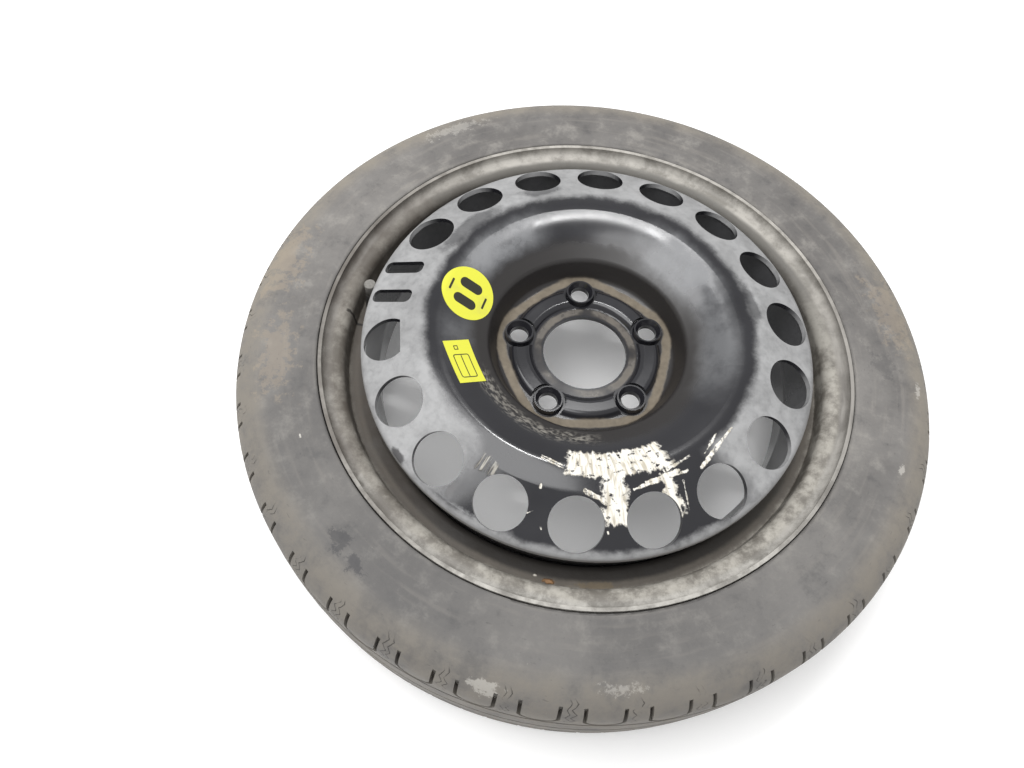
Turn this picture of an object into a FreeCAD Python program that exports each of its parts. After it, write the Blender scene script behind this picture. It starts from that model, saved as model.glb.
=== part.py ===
import FreeCAD, Part
import Sketcher
import math
import os

# Temporary-use steel spare wheel, lying with its outer face up.
# The wheel axis is Z and the origin is the centre of the hub mounting face.
# The valve stands at the -X side, in line with one of the five bolt holes.

SIZES = (
    # Hub and pressed disc
    ("hub_bore_radius", 35.1, "centre bore"),
    ("bolt_circle", 115.0, "pitch circle diameter of the bolt holes"),
    ("bolt_count", 5, "bolt holes"),
    ("bolt_hole_radius", 7.75, "straight part of a bolt hole"),
    ("seat_mouth_radius", 10.6, "mouth of the conical bolt seat"),
    ("seat_depth", 4.4, "depth of the conical bolt seat"),
    ("boss_radius", 12.6, "foot of a bolt boss"),
    ("boss_top_radius", 11.8, "top of a bolt boss"),
    ("boss_height", 5.6, "bolt boss above the hub flat"),
    ("boss_moat", 2.0, "sunk ring between a boss and the ridge"),
    ("disc_thickness", 4.0, "sheet of the pressed disc"),
    ("ridge_inset", 13.0, "inner foot of the ridge inside the bolt circle"),
    ("ridge_outset", 6.0, "outer foot of the ridge outside the bolt circle"),
    ("ridge_flank", 3.2, "radial run of a ridge flank"),
    ("ridge_height", 4.2, "ridge above the hub flat"),
    ("ridge_foot_round", 2.0, "rounding at the foot of the ridge"),
    ("ridge_top_round", 5.5, "rounding at the top of the ridge"),
    ("wall_outset", 16.5, "edge of the hub flat outside the bolt circle"),
    ("wall_foot_round", 6.0, "rounding at the foot of the dish wall"),
    ("wall_run", 7.5, "radial run of the steep dish wall"),
    ("wall_top_round", 6.5, "rounding at the top of the dish wall"),
    ("flank_slope", 29.0, "slope of the bulge towards the hub, degrees"),
    ("crest_inset", 31.5, "corner of the bulge inside the circle of holes"),
    ("crest_height", 50.7, "corner of the bulge above the mounting face"),
    ("crest_round", 26.0, "rounding of the bulge"),
    ("vent_slope", 24.0, "slope of the ring with the holes, degrees"),
    ("vent_inset", 23.0, "circle of holes inside the corner of the disc edge"),
    ("vent_hole_radius", 20.5, "round hole"),
    ("vent_places", 18, "equal places round the ring of holes"),
    ("vent_count", 16, "places that have a round hole"),
    ("flat_side_offset", 11.5, "flat edge of the D-shaped hole from its centre"),
    ("slot_spacing", 30.0, "distance between the two slots beside the valve"),
    ("slot_width", 12.5, "width of a slot"),
    ("slot_length", 34.0, "length of a slot"),
    ("slot_round", 5.0, "rounding of a slot"),
    ("shoulder_reach", 8.55, "corner of the disc edge beyond the skirt"),
    ("shoulder_round", 8.0, "rounding of the disc edge"),
    ("skirt_bend_drop", 1.0, "bend of the skirt below the back of the valve land"),
    ("skirt_round", 15.0, "rounding of the bend of the skirt"),
    ("skirt_reach", 1.0, "end of the skirt above the rim's centre plane"),
    # Rim
    ("rim_offset", 41.0, "mounting face above the rim's centre plane"),
    ("rim_width", 101.6, "between the flanges"),
    ("rim_thickness", 2.8, "sheet of the rim"),
    ("bead_seat_radius", 202.8, "bead seat at the flange"),
    ("bead_seat_drop", 2.0, "fall of the tapered bead seat"),
    ("flange_height", 17.3, "flange above the bead seat"),
    ("flange_curl", 11.0, "flange edge beyond its inner face"),
    ("flange_droop", 0.9, "fall of the flange edge"),
    ("flange_round", 8.5, "rounding of the flange"),
    ("heel_round", 6.3, "rounding between bead seat and flange"),
    ("land_height", 28.0, "valve land above the rim's centre plane"),
    ("land_round", 4.0, "rounding between valve land and bead seat"),
    ("land_foot_round", 3.0, "rounding between valve land and well"),
    ("well_depth", 22.3, "bottom of the well below the bead seat"),
    ("well_end", 12.0, "well below the rim's centre plane"),
    ("inner_seat_start", 29.0, "inner bead seat below the rim's centre plane"),
    ("well_round", 8.0, "rounding of the inner well wall"),
    ("seat_clearance", 0.1, "gap between pieces that are seated on each other"),
    ("skirt_gap", 0.25, "gap between the disc skirt and the rim well"),
    ("weld_leg", 4.0, "leg of a weld seam"),
    ("weld_angle", 54.0, "length of a weld seam, degrees"),
    ("weld_count", 4, "weld seams"),
    # Tyre
    ("section_height", 87.2, "crown of the tread above the bead seat"),
    ("crown_drop", 3.0, "corner of the tread below the crown"),
    ("side_overhang", 11.5, "sidewall beyond the inner face of the flange"),
    ("shoulder_curve", 26.0, "rounding of the tyre shoulder"),
    ("crown_curve", 500.0, "rounding of the crown"),
    ("side_edge_round", 2.0, "rounding of the sidewall above the flange"),
    ("side_thickness", 8.0, "sidewall"),
    ("tread_thickness", 13.0, "tread"),
    ("bead_width", 14.0, "bead along its seat"),
    ("bead_height", 13.2, "top of the bead above its seat, inside the tyre"),
    ("side_start", 33.2, "start of the thin sidewall above the bead seat"),
    ("toe_round", 2.0, "rounding of the bead toe"),
    ("lining_round", 15.0, "roundings inside the tyre"),
    ("groove_width", 3.5, "groove round the tread"),
    ("groove_depth", 4.5, "groove round the tread"),
    ("groove_spacing", 24.0, "distance between the grooves round the tread"),
    ("lug_count", 40, "shoulder lugs on each side"),
    ("lug_phase", -1.7, "first upper lug about the wheel axis, degrees"),
    ("lug_width", 30.0, "shoulder lug with its groove, round the tyre"),
    ("lug_length", 36.0, "shoulder lug from the sidewall plane inwards"),
    ("lug_groove", 2.8, "groove along three sides of a lug"),
    ("lug_round", 13.5, "outer rounding of the groove"),
    ("lug_floor", 9.0, "floor of the groove below the crown"),
    # Valve
    ("valve_inset", 12.9, "valve axis inside the bead seat"),
    ("valve_hole_radius", 5.75, "hole in the rim"),
    ("valve_gap", 0.3, "gap between the rubber neck and the hole"),
    ("bulb_radius", 8.2, "rubber bulb inside the rim"),
    ("bulb_lip_radius", 6.3, "upper end of the bulb, at the rim"),
    ("bulb_tip_radius", 6.2, "lower end of the bulb"),
    ("bulb_length", 9.0, "rubber bulb inside the rim"),
    ("bulb_edge", 2.5, "widest part of the bulb below the rim"),
    ("collar_radius", 6.7, "rubber collar outside the rim"),
    ("collar_height", 3.0, "rubber collar outside the rim"),
    ("rubber_root_radius", 6.2, "rubber above the collar"),
    ("rubber_root_height", 6.0, "top of the collar's taper"),
    ("rubber_top_radius", 5.1, "top of the rubber"),
    ("rubber_height", 18.5, "rubber above the rim"),
    ("stem_radius", 3.85, "brass stem"),
    ("stem_bore", 2.6, "bore for the valve core"),
    ("stem_low_bore", 1.9, "air passage below the core"),
    ("stem_height", 30.0, "brass stem above the rim"),
    ("stem_foot", 7.5, "brass stem inside the rubber bulb"),
    ("core_length", 13.0, "barrel of the valve core"),
    ("core_sink", 1.0, "barrel below the mouth of the stem"),
    ("core_chamber", 1.85, "spring chamber in the barrel"),
    ("core_floor", 3.0, "solid lower end of the barrel"),
    ("gasket_height", 1.6, "gasket ring on the barrel"),
    ("gasket_depth", 0.45, "groove for the gasket ring"),
    ("gasket_level", 1.0, "gasket ring above the lower end of the barrel"),
    ("pin_radius", 0.7, "pin of the valve core"),
    ("pin_clearance", 0.06, "gap round the pin"),
    ("pin_sink", 0.3, "pin below the mouth of the stem"),
    ("pin_collar_radius", 1.55, "collar that the spring pushes"),
    ("pin_collar_height", 0.8, "collar that the spring pushes"),
    ("pin_collar_level", 3.0, "collar below the mouth of the stem"),
    ("pin_tail", 0.6, "pin below its seal"),
    ("seal_radius", 1.45, "seal under the barrel"),
    ("seal_height", 1.3, "seal under the barrel"),
    ("spring_radius", 1.25, "mean radius of the core spring"),
    ("spring_wire", 0.18, "wire radius of the core spring"),
    ("spring_turns", 5, "turns of the core spring"),
    ("spring_flats", 8, "flats round the drawn wire of the core spring"),
    ("cap_radius", 4.9, "cap"),
    ("cap_clearance", 0.35, "gap between cap and stem"),
    ("cap_roof", 1.4, "closed end of the cap"),
    ("cap_head_room", 0.5, "gap above the stem inside the cap"),
    ("cap_edge_round", 1.0, "rounding of the cap"),
    ("cap_foot_gap", 0.4, "cap above the rubber"),
    ("cap_ribs", 12, "grip flutes on the cap"),
    ("cap_flute_radius", 0.55, "grip flute on the cap"),
    # Stickers on the flank of the bulge
    ("sticker_radius", 23.5, "round sticker"),
    ("sticker_inset", 26.5, "stickers inside the corner of the bulge"),
    ("sticker_angle", 176.8, "round sticker about the wheel axis, degrees"),
    ("sticker_thickness", 0.3, "sticker sheet"),
    ("sticker_gap", 0.03, "glue line"),
    ("label_width", 24.6, "label down the flank"),
    ("label_length", 39.2, "label round the flank"),
    ("label_angle", 212.7, "label about the wheel axis, degrees"),
    ("label_turn", 6.6, "label in its own plane, degrees"),
    # Cutters
    ("cut_margin", 2.0, "reach of a cutter past the face that it cuts"),
)

doc = FreeCAD.newDocument("spare_wheel")
sheet = doc.addObject("Spreadsheet::Sheet", "Sizes")
for row, (alias, value, note) in enumerate(SIZES, start=1):
    sheet.set(f"A{row}", note)
    sheet.set(f"B{row}", str(value))
    sheet.setAlias(f"B{row}", alias)
doc.recompute()


class Term:
    """A number together with the sheet expression that gives it."""

    def __init__(self, text, value):
        self.text = text
        self.value = value

    def joined(self, sign, other, value):
        return Term(f"({self.text} {sign} {other.text})", value)

    def __add__(self, other):
        other = term(other)
        return self.joined("+", other, self.value + other.value)

    def __sub__(self, other):
        other = term(other)
        return self.joined("-", other, self.value - other.value)

    def __mul__(self, other):
        other = term(other)
        return self.joined("*", other, self.value * other.value)

    def __truediv__(self, other):
        other = term(other)
        return self.joined("/", other, self.value / other.value)

    def __neg__(self):
        return Term(f"(0 - {self.text})", -self.value)


def term(number):
    return number if isinstance(number, Term) else Term(repr(number), number)


def size(alias):
    return Term(f"Sizes.{alias}", float(sheet.get(alias)))


def sine(angle):
    return Term(f"sin({angle.text})", math.sin(math.radians(angle.value)))


def cosine(angle):
    return Term(f"cos({angle.text})", math.cos(math.radians(angle.value)))


def tangent(angle):
    return Term(f"tan({angle.text})", math.tan(math.radians(angle.value)))


def bind(thing, path, value):
    """Set a property from the sheet."""
    thing.setExpression(path, term(value).text)


def vector(point):
    return FreeCAD.Vector(point[0], point[1], 0)


class Drawing:
    """Collects the geometry and the bound constraints of one sketch."""

    def __init__(self, sketch):
        self.sketch = sketch
        self.shapes = []
        self.rules = []
        self.bound = []

    def add(self, shape, helper=False):
        self.shapes.append((shape, helper))
        return len(self.shapes) - 1

    def rule(self, *parts):
        self.rules.append(Sketcher.Constraint(*parts))

    def measure(self, value, kind, *parts):
        value = term(value)
        self.bound.append((len(self.rules), value.text))
        self.rule(kind, *parts, value.value)

    def place(self, shape, end, x, y):
        """Hold one point of a shape at its two coordinates."""
        if term(x).value == 0:
            self.rule("PointOnObject", shape, end, -2)
        else:
            self.measure(x, "DistanceX", -1, 1, shape, end)
        if term(y).value == 0:
            self.rule("PointOnObject", shape, end, -1)
        else:
            self.measure(y, "DistanceY", -1, 1, shape, end)

    def finish(self):
        for shape, helper in self.shapes:
            self.sketch.addGeometry(shape, helper)
        self.sketch.addConstraint(self.rules)
        for index, text in self.bound:
            self.sketch.setExpression(f"Constraints[{index}]", text)
        return self.sketch


def unit(start, end):
    length = math.dist(start, end)
    return ((end[0] - start[0]) / length, (end[1] - start[1]) / length)


class Corner:
    """A rounded corner between two straight stretches, worked out in numbers."""

    def __init__(self, before, at, after, radius):
        a = unit(before, at)
        b = unit(at, after)
        turn = math.atan2(a[0] * b[1] - a[1] * b[0], a[0] * b[0] + a[1] * b[1])
        self.left = turn > 0
        reach = radius * math.tan(abs(turn) / 2)
        self.start = (at[0] - a[0] * reach, at[1] - a[1] * reach)
        self.end = (at[0] + b[0] * reach, at[1] + b[1] * reach)
        side = radius if self.left else -radius
        centre = (self.start[0] - a[1] * side, self.start[1] + a[0] * side)
        first, last = (self.start, self.end) if self.left else (self.end, self.start)
        angles = [math.atan2(p[1] - centre[1], p[0] - centre[0]) for p in (first, last)]
        circle = Part.Circle(vector(centre), FreeCAD.Vector(0, 0, 1), radius)
        self.arc = Part.ArcOfCircle(circle, angles[0], angles[1])
        self.ends = (1, 2) if self.left else (2, 1)


def trace(drawing, corners, closed, radii):
    """Draw straight stretches through the corners, with arcs where a radius is given."""
    spots = [(term(c[0]).value, term(c[1]).value) for c in corners]
    count = len(spots)
    rounded = {}
    for i, radius in enumerate(radii):
        if radius is not None:
            neighbours = spots[i - 1], spots[i], spots[(i + 1) % count]
            rounded[i] = Corner(*neighbours, term(radius).value)
    lines = []
    for i in range(count if closed else count - 1):
        j = (i + 1) % count
        start = rounded[i].end if i in rounded else spots[i]
        end = rounded[j].start if j in rounded else spots[j]
        lines.append(drawing.add(Part.LineSegment(vector(start), vector(end))))
    arcs = {i: drawing.add(corner.arc) for i, corner in rounded.items()}
    for i, corner in rounded.items():
        drawing.rule("Tangent", lines[i - 1], 2, arcs[i], corner.ends[0])
        drawing.rule("Tangent", arcs[i], corner.ends[1], lines[i], 1)
        drawing.measure(radii[i], "Radius", arcs[i])
    return lines, rounded


def outline(drawing, corners):
    """A closed outline through (x, y, radius) corners."""
    radii = [c[2] if len(c) > 2 else None for c in corners]
    lines, rounded = trace(drawing, corners, True, radii)
    for i, corner in enumerate(corners):
        if i in rounded:
            hold_rounded(drawing, corner, lines[i - 1], lines[i])
        else:
            drawing.rule("Coincident", lines[i - 1], 2, lines[i], 1)
            drawing.place(lines[i], 1, corner[0], corner[1])
    return lines


def hold_rounded(drawing, corner, before, after):
    """Hold the point where the two lines beside a rounding would meet."""
    spot = (term(corner[0]).value, term(corner[1]).value)
    mark = drawing.add(Part.Point(vector(spot)), True)
    drawing.place(mark, 1, corner[0], corner[1])
    drawing.rule("PointOnObject", mark, 1, before)
    drawing.rule("PointOnObject", mark, 1, after)


def loop(sketch, corners, axis_edge=None):
    """A sketch with one outline, and a helper line on the edge it is turned about."""
    drawing = Drawing(sketch)
    lines = outline(drawing, corners)
    if axis_edge is not None:
        edge = lines[axis_edge]
        axis = drawing.add(drawing.shapes[edge][0].copy(), True)
        drawing.rule("Coincident", axis, 1, edge, 1)
        drawing.rule("Coincident", axis, 2, edge, 2)
    return drawing.finish()


def sheet_section(sketch, corners, thickness):
    """The section of a bent sheet: its drawn side and a side parallel to it, on the right."""
    drawing = Drawing(sketch)
    last = len(corners) - 1
    radii = [c[2] if len(c) > 2 else None for c in corners]
    lines, rounded = trace(drawing, corners, False, radii)
    spots = [(term(c[0]).value, term(c[1]).value) for c in corners]
    for i, corner in enumerate(corners):
        if i in rounded:
            hold_rounded(drawing, corner, lines[i - 1], lines[i])
        elif i == last:
            drawing.place(lines[-1], 2, corner[0], corner[1])
        else:
            drawing.place(lines[i], 1, corner[0], corner[1])

    gap = thickness.value
    ways = [unit(spots[i], spots[i + 1]) for i in range(last)]
    sides = [(way[1], -way[0]) for way in ways]
    other = [(spots[0][0] + sides[0][0] * gap, spots[0][1] + sides[0][1] * gap)]
    for i in range(1, last):
        a, b = sides[i - 1], sides[i]
        share = gap / (1 + a[0] * b[0] + a[1] * b[1])
        other.append((spots[i][0] + (a[0] + b[0]) * share, spots[i][1] + (a[1] + b[1]) * share))
    other.append((spots[-1][0] + sides[-1][0] * gap, spots[-1][1] + sides[-1][1] * gap))
    far_radii = [None] * (last + 1)
    for i, corner in rounded.items():
        far_radii[i] = radii[i] + thickness if corner.left else radii[i] - thickness
    far_lines, _ = trace(drawing, other, False, far_radii)
    for near, far in zip(lines, far_lines):
        drawing.rule("Parallel", near, far)
        drawing.measure(thickness, "Distance", far, 1, near)
    ends = ((lines[0], far_lines[0], 1, 0), (lines[-1], far_lines[-1], 2, last))
    for near, far, end, i in ends:
        edge = drawing.add(Part.LineSegment(vector(spots[i]), vector(other[i])))
        drawing.rule("Coincident", near, end, edge, 1)
        drawing.rule("Coincident", far, end, edge, 2)
        drawing.rule("Perpendicular", near, edge)
    return drawing.finish()


def new_body(label):
    body = doc.addObject("PartDesign::Body", label)
    body.Label = label
    return body


def new_sketch(body, name, plane, height=None, turn=0.0):
    """A sketch on one of the body's own planes, turned about Z and then raised off its plane."""
    sketch = body.newObject("Sketcher::SketchObject", f"{body.Name}_{name}")
    origin = [f for f in body.Origin.OriginFeatures if f.Role == plane][0]
    sketch.AttachmentSupport = [(origin, "")]
    sketch.MapMode = "FlatFace"
    level = plane == "XY_Plane"
    upright = FreeCAD.Vector(0, 0, 1) if level else FreeCAD.Vector(0, 1, 0)
    rotation = FreeCAD.Rotation(upright, turn)
    sketch.AttachmentOffset = FreeCAD.Placement(FreeCAD.Vector(), rotation)
    if height is not None:
        way = rotation.multVec(FreeCAD.Vector(0, 0, 1))
        bind(sketch, "AttachmentOffset.Base.x", height * way.x)
        bind(sketch, "AttachmentOffset.Base.z", height * way.z)
    return sketch


def turned(body, sketch, kind, axis="V_Axis"):
    """A Revolution or Groove of a sketch."""
    feature = body.newObject(f"PartDesign::{kind}", f"{sketch.Name}_{kind.lower()}")
    feature.Profile = sketch
    feature.ReferenceAxis = (sketch, [axis])
    feature.Angle = 360.0
    body.Tip = feature
    return feature


def pocket(body, sketch, depth):
    """A cut from the sketch along its plane's own direction."""
    feature = body.newObject("PartDesign::Pocket", f"{sketch.Name}_pocket")
    feature.Profile = sketch
    feature.Reversed = True
    bind(feature, "Length", depth)
    body.Tip = feature
    return feature


def ring_of(body, features, name, count, angle):
    """Repeat features round the body's Z axis."""
    feature = body.newObject("PartDesign::PolarPattern", f"{body.Name}_{name}")
    feature.Originals = features
    axis = [f for f in body.Origin.OriginFeatures if f.Role == "Z_Axis"][0]
    feature.Axis = (axis, [""])
    bind(feature, "Angle", angle)
    bind(feature, "Occurrences", count)
    body.Tip = feature
    return feature


def turned_body(label, corners):
    """A body turned about its own Z axis."""
    body = new_body(label)
    sketch = new_sketch(body, "section", "XZ_Plane")
    loop(sketch, corners)
    turned(body, sketch, "Revolution")
    return body


# Radii and levels that several pieces share
full_turn = term(360.0)
cut_margin = size("cut_margin")
rim_middle = -size("rim_offset")
rim_half = size("rim_width") / 2
bead_seat = size("bead_seat_radius")
flange_radius = bead_seat + size("flange_height")
flange_edge = rim_half + size("flange_curl")
land_back = rim_middle + size("land_height")
land_face = land_back + size("rim_thickness")
well_radius = bead_seat - size("well_depth")
valve_circle = bead_seat - size("valve_inset")
tyre_radius = bead_seat + size("section_height")
tyre_half = rim_half + size("side_overhang")
skirt_radius = well_radius - size("rim_thickness") - size("skirt_gap")
skirt_end = rim_middle + size("skirt_reach")
shoulder_radius = skirt_radius + size("shoulder_reach")
vent_circle = shoulder_radius - size("vent_inset")
vent_pitch = full_turn / size("vent_places")
crest_radius = vent_circle - size("crest_inset")
crest_height = size("crest_height")
vent_fall = tangent(size("vent_slope"))
vent_height = crest_height - size("crest_inset") * vent_fall
shoulder_height = vent_height - size("vent_inset") * vent_fall
bolt_radius = size("bolt_circle") / 2
boss_top = size("disc_thickness") + size("boss_height")
wall_foot_radius = bolt_radius + size("wall_outset")
wall_top_radius = wall_foot_radius + size("wall_run")
flank_rise = tangent(size("flank_slope"))
wall_top = crest_height - (crest_radius - wall_top_radius) * flank_rise


def make_rim():
    """Rolled rim with curled flanges, tapered bead seats and a well."""
    body = new_body("rim")
    seat_end = bead_seat - size("bead_seat_drop")
    corners = (
        (flange_radius - size("flange_droop"), rim_middle - flange_edge),
        (flange_radius, rim_middle - rim_half, size("flange_round")),
        (bead_seat, rim_middle - rim_half, size("heel_round")),
        (seat_end, rim_middle - size("inner_seat_start"), size("well_round")),
        (well_radius, rim_middle - size("well_end"), size("well_round")),
        (well_radius, land_back, size("land_foot_round")),
        (seat_end, land_back, size("land_round")),
        (bead_seat, rim_middle + rim_half, size("heel_round")),
        (flange_radius, rim_middle + rim_half, size("flange_round")),
        (flange_radius - size("flange_droop"), rim_middle + flange_edge),
    )
    section = new_sketch(body, "section", "XZ_Plane")
    # The corners run upwards with the tyre on their right, so the sheet is drawn mirrored.
    mirrored = [(-c[0],) + tuple(c[1:]) for c in corners]
    sheet_section(section, mirrored, size("rim_thickness"))
    turned(body, section, "Revolution")
    hole = new_sketch(body, "valve_hole", "XY_Plane", land_back - cut_margin)
    round_hole(hole, -valve_circle, size("valve_hole_radius"))
    pocket(body, hole, size("rim_thickness") + cut_margin * 2)
    return body


def round_hole(sketch, x, radius):
    """A circle centred on the sketch's X axis."""
    drawing = Drawing(sketch)
    circle = Part.Circle(FreeCAD.Vector(x.value, 0, 0), FreeCAD.Vector(0, 0, 1), radius.value)
    shape = drawing.add(circle)
    drawing.place(shape, 3, x, 0)
    drawing.measure(radius, "Radius", shape)
    return drawing.finish()


def make_disc():
    """Pressed disc: hub flat with ridge and bosses, dish wall, bulge, ring of holes, skirt."""
    body = new_body("wheel_disc")
    front = size("disc_thickness")
    ridge_top = front + size("ridge_height")
    ridge_inner = bolt_radius - size("ridge_inset")
    ridge_outer = bolt_radius + size("ridge_outset")
    ridge_foot_round = size("ridge_foot_round")
    ridge_top_round = size("ridge_top_round")
    corners = (
        (size("hub_bore_radius"), front),
        (ridge_inner, front, ridge_foot_round),
        (ridge_inner + size("ridge_flank"), ridge_top, ridge_top_round),
        (ridge_outer - size("ridge_flank"), ridge_top, ridge_top_round),
        (ridge_outer, front, ridge_foot_round),
        (wall_foot_radius, front, size("wall_foot_round")),
        (wall_top_radius, wall_top, size("wall_top_round")),
        (crest_radius, crest_height, size("crest_round")),
        (shoulder_radius, shoulder_height, size("shoulder_round")),
        (skirt_radius, land_back - size("skirt_bend_drop"), size("skirt_round")),
        (skirt_radius, skirt_end),
    )
    section = new_sketch(body, "section", "XZ_Plane")
    sheet_section(section, corners, size("disc_thickness"))
    turned(body, section, "Revolution")
    cut_bolt_holes(body, front)
    cut_vents(body)
    return body


def cut_bolt_holes(body, front):
    """Five bosses with conical seats, each set in a gap of the ridge."""
    axis = -bolt_radius
    moat = size("boss_radius") + size("boss_moat")
    seat_floor = boss_top - size("seat_depth")
    high = boss_top + cut_margin

    gap = new_sketch(body, "ridge_gap", "XZ_Plane")
    loop(gap, ((axis, front), (axis - moat, front), (axis - moat, high), (axis, high)), -1)
    gap_cut = turned(body, gap, "Groove", "Axis0")

    boss = new_sketch(body, "boss", "XZ_Plane")
    loop(boss, (
        (axis, 0.0),
        (axis - moat, 0.0),
        (axis - moat, front),
        (axis - size("boss_radius"), front),
        (axis - size("boss_top_radius"), boss_top),
        (axis, boss_top),
    ), -1)
    boss_added = turned(body, boss, "Revolution", "Axis0")

    hole = new_sketch(body, "bolt_hole", "XZ_Plane")
    loop(hole, (
        (axis, -cut_margin),
        (axis - size("bolt_hole_radius"), -cut_margin),
        (axis - size("bolt_hole_radius"), seat_floor),
        (axis - size("seat_mouth_radius"), boss_top),
        (axis - size("seat_mouth_radius"), high),
        (axis, high),
    ), -1)
    hole_cut = turned(body, hole, "Groove", "Axis0")
    features = [gap_cut, boss_added, hole_cut]
    ring_of(body, features, "bolt_ring", size("bolt_count"), full_turn)


def cut_vents(body):
    """Round holes square to the sloping ring, one with a flat side, and two slots by the valve."""
    slope = size("vent_slope")
    along = (cosine(slope), -sine(slope))
    out = (sine(slope), cosine(slope))
    radius = size("vent_hole_radius")
    reach = size("disc_thickness") * 2

    def spot(outward, sideways):
        x = vent_circle + out[0] * outward + along[0] * sideways
        return (x, vent_height + out[1] * outward + along[1] * sideways)

    edge = term(0.0)
    hole = new_sketch(body, "vent", "XZ_Plane", turn=2 * vent_pitch.value - 180.0)
    loop(hole, (spot(-reach, edge), spot(reach, edge), spot(reach, radius), spot(-reach, radius)), 0)
    hole_cut = turned(body, hole, "Groove", "Axis0")
    spread = vent_pitch * (size("vent_count") - 1)
    ring_of(body, [hole_cut], "vent_ring", size("vent_count"), spread)

    floor = shoulder_height - size("disc_thickness") - cut_margin
    depth = crest_height - floor
    flat = new_sketch(body, "flat_vent", "XY_Plane", floor, vent_pitch.value)
    flat_sided_hole(flat, -vent_circle, radius * cosine(slope), size("flat_side_offset"))
    pocket(body, flat, depth)

    slots = new_sketch(body, "slots", "XY_Plane", floor)
    drawing = Drawing(slots)
    half = size("slot_length") / 2
    for side in (-1, 1):
        near = (size("slot_spacing") - size("slot_width")) / 2 * side
        far = (size("slot_spacing") + size("slot_width")) / 2 * side
        ends = (-vent_circle - half, -vent_circle + half)
        corners = ((ends[0], near), (ends[1], near), (ends[1], far), (ends[0], far))
        outline(drawing, [corner + (size("slot_round"),) for corner in corners])
    drawing.finish()
    pocket(body, slots, depth)


def flat_sided_hole(sketch, x, radius, offset):
    """A circle centred on the X axis with a straight edge across it."""
    drawing = Drawing(sketch)
    half_angle = math.acos(offset.value / radius.value)
    circle = Part.Circle(FreeCAD.Vector(x.value, 0, 0), FreeCAD.Vector(0, 0, 1), radius.value)
    arc = drawing.add(Part.ArcOfCircle(circle, half_angle, 2 * math.pi - half_angle))
    edge_x = (x + offset).value
    edge_y = radius.value * math.sin(half_angle)
    ends = [FreeCAD.Vector(edge_x, y, 0) for y in (edge_y, -edge_y)]
    edge = drawing.add(Part.LineSegment(*ends))
    drawing.place(arc, 3, x, 0)
    drawing.measure(radius, "Radius", arc)
    drawing.rule("Coincident", arc, 1, edge, 1)
    drawing.rule("Coincident", arc, 2, edge, 2)
    drawing.rule("Vertical", edge)
    drawing.measure(x + offset, "DistanceX", -1, 1, edge, 1)
    return drawing.finish()


def make_welds():
    """Weld seams between the end of the disc skirt and the rim well."""
    body = new_body("disc_welds")
    leg = size("weld_leg")
    section = new_sketch(body, "section", "XZ_Plane")
    loop(section, (
        (skirt_radius, skirt_end),
        (skirt_radius, skirt_end - leg),
        (skirt_radius - leg, skirt_end),
    ))
    seam = turned(body, section, "Revolution")
    bind(seam, "Angle", size("weld_angle"))
    ring_of(body, [seam], "seams", size("weld_count"), full_turn)
    return body


def make_tyre():
    """Moulded tyre, hollow, with square shoulders, tread grooves and shoulder lugs."""
    body = new_body("tyre")
    gap = size("seat_clearance")
    toe_level = rim_half - size("bead_width")
    seat_length = rim_half - size("land_height")
    toe = bead_seat - size("bead_seat_drop") * size("bead_width") / seat_length + gap
    lining = tyre_half - size("side_thickness")
    lining_round = size("lining_round")

    def outside(side):
        flange_face = rim_middle + (rim_half - gap) * side
        side_face = rim_middle + tyre_half * side
        return [
            (toe, rim_middle + toe_level * side, size("toe_round")),
            (bead_seat + gap, flange_face, size("heel_round") - gap),
            (flange_radius + gap, flange_face, size("flange_round") + gap),
            (flange_radius + gap, side_face, size("side_edge_round")),
            (tyre_radius - size("crown_drop"), side_face, size("shoulder_curve")),
        ]

    def inside(side):
        return [
            (tyre_radius - size("tread_thickness"), rim_middle + lining * side, lining_round),
            (bead_seat + size("side_start"), rim_middle + lining * side, lining_round),
            (bead_seat + size("bead_height"), rim_middle + toe_level * side, lining_round),
        ]

    crown = [(tyre_radius, rim_middle, size("crown_curve"))]
    section = new_sketch(body, "section", "XZ_Plane")
    lower = outside(-1)
    loop(section, outside(1) + crown + lower[::-1] + inside(-1)[::-1] + inside(1))
    turned(body, section, "Revolution")
    cut_tread(body)
    return body


def cut_tread(body):
    """Three grooves round the tread and a ring of lugs on each shoulder."""
    grooves = new_sketch(body, "grooves", "XZ_Plane")
    drawing = Drawing(grooves)
    floor = tyre_radius - size("groove_depth")
    outer = tyre_radius + cut_margin
    for step in (-1, 0, 1):
        middle = rim_middle + size("groove_spacing") * step
        low = middle - size("groove_width") / 2
        high = middle + size("groove_width") / 2
        outline(drawing, ((floor, low), (outer, low), (outer, high), (floor, high)))
    drawing.finish()
    turned(body, grooves, "Groove")

    cuts = []
    depth = size("lug_floor")
    half_pitch = full_turn / size("lug_count") / 2
    for name, side, shift in (("upper", 1, 0.0), ("lower", -1, half_pitch.value)):
        turn = size("lug_phase").value + shift
        groove = new_sketch(body, f"{name}_lug", "YZ_Plane", tyre_radius - depth, turn)
        loop(groove, lug_groove(side))
        cuts.append(pocket(body, groove, depth + cut_margin))
    ring_of(body, cuts, "lug_ring", size("lug_count"), full_turn)


def lug_groove(side):
    """The groove along three sides of a shoulder lug, open towards the sidewall."""
    wide = size("lug_width") / 2
    narrow = wide - size("lug_groove")
    open_end = rim_middle + (tyre_half + cut_margin) * side
    far = rim_middle + (tyre_half - size("lug_length")) * side
    near = far + size("lug_groove") * side
    outer_round = size("lug_round")
    inner_round = outer_round - size("lug_groove")
    return (
        (-wide, open_end),
        (-wide, far, outer_round),
        (wide, far, outer_round),
        (wide, open_end),
        (narrow, open_end),
        (narrow, near, inner_round),
        (-narrow, near, inner_round),
        (-narrow, open_end),
    )


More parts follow.
